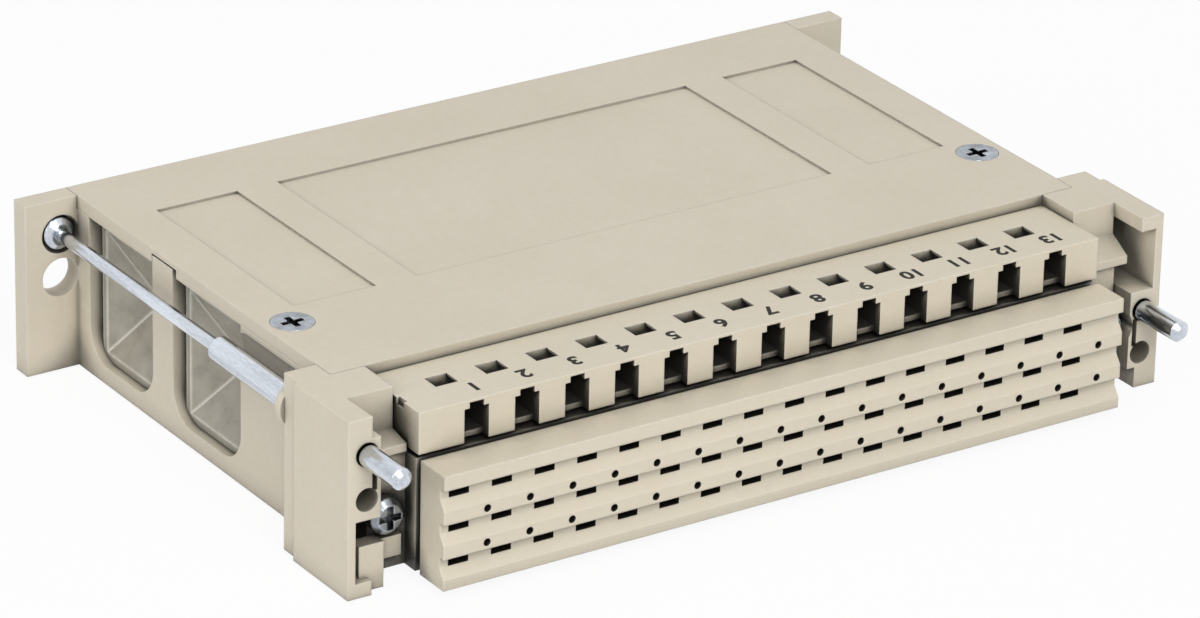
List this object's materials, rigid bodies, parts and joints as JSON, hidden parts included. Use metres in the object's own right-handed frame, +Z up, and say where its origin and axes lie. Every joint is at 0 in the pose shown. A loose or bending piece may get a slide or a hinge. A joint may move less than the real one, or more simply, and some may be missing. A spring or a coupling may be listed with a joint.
{
  "type": "rack connector shell housing",
  "caption": "Flat two-part plastic hood around a rack plug-in connector, with a coding strip in front, blanked side cable entries and long captive fixing screws.",
  "frame": {"origin": "middle of the flat underside, halfway between the front plane of the lugs and the rear face of the cable flange", "axes": "+X along the connector to the right seen from the mating side, +Y from the mating side to the cable flange, +Z up through the screwed cover"},
  "size_m": [0.1052, 0.072, 0.0198],
  "materials": {
    "housing_plastic": "matte",
    "insert_plastic": "matte",
    "insulator_plastic": "satin",
    "bright_steel": "bright",
    "screw_zinc": "zinc plated",
    "contact_metal": "plated",
    "insert_brass": "machined"
  },
  "bodies": {
    "housing": {"lower_shell": "housing_plastic", "upper_shell": "housing_plastic", "connector_body": "insulator_plastic", "contacts_upper_row": "contact_metal", "contacts_middle_row": "contact_metal", "contacts_lower_row": "contact_metal", "coding_strip": "insulator_plastic", "cable_clamp": "housing_plastic", "blanking_insert_left_front": "insert_plastic", "blanking_insert_left_rear": "insert_plastic", "cover_screw_left": "screw_zinc", "connector_screw_left": "screw_zinc", "threaded_insert_left": "insert_brass", "clamp_screw_left": "screw_zinc", "blanking_insert_right_front": "insert_plastic", "blanking_insert_right_rear": "insert_plastic", "cover_screw_right": "screw_zinc", "connector_screw_right": "screw_zinc", "threaded_insert_right": "insert_brass", "clamp_screw_right": "screw_zinc"},
    "left_screw": {"fixing_screw_left": "bright_steel"},
    "right_screw": {"fixing_screw_right": "bright_steel"}
  },
  "joints": [
    {"name": "left_fixing_screw_turn", "type": "hinge", "parent": "housing", "child": "left_screw", "pos_m": [-0.0484, 0, 0.01575], "axis": [0, -1, 0], "continuous": true},
    {"name": "right_fixing_screw_turn", "type": "hinge", "parent": "housing", "child": "right_screw", "pos_m": [0.0484, 0, 0.00905], "axis": [0, -1, 0], "continuous": true}
  ]
}
